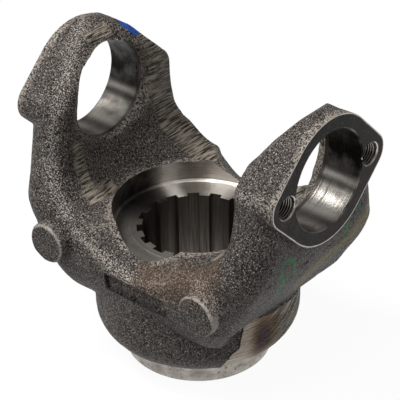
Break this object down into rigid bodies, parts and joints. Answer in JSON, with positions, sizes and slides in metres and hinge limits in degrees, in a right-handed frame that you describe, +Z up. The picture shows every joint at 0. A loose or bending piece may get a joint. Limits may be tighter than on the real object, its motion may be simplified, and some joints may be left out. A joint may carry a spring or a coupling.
{
  "type": "forged end yoke",
  "caption": "One-piece forged end yoke with two ears bored across for a bearing cross and a splined hub below.",
  "frame": {"origin": "on the spline axis, in the end face of the nose that the yoke stands on", "axes": "+Z up the spline axis towards the ears, +X along the cross bearing bores, Y across the flanks"},
  "size_m": [0.1574, 0.1166, 0.1567],
  "materials": {
    "forged_steel": "rough forged and shot blasted, with bright machined bores and faces"
  },
  "bodies": {
    "root": {"forged_yoke": "forged_steel"}
  },
  "joints": []
}
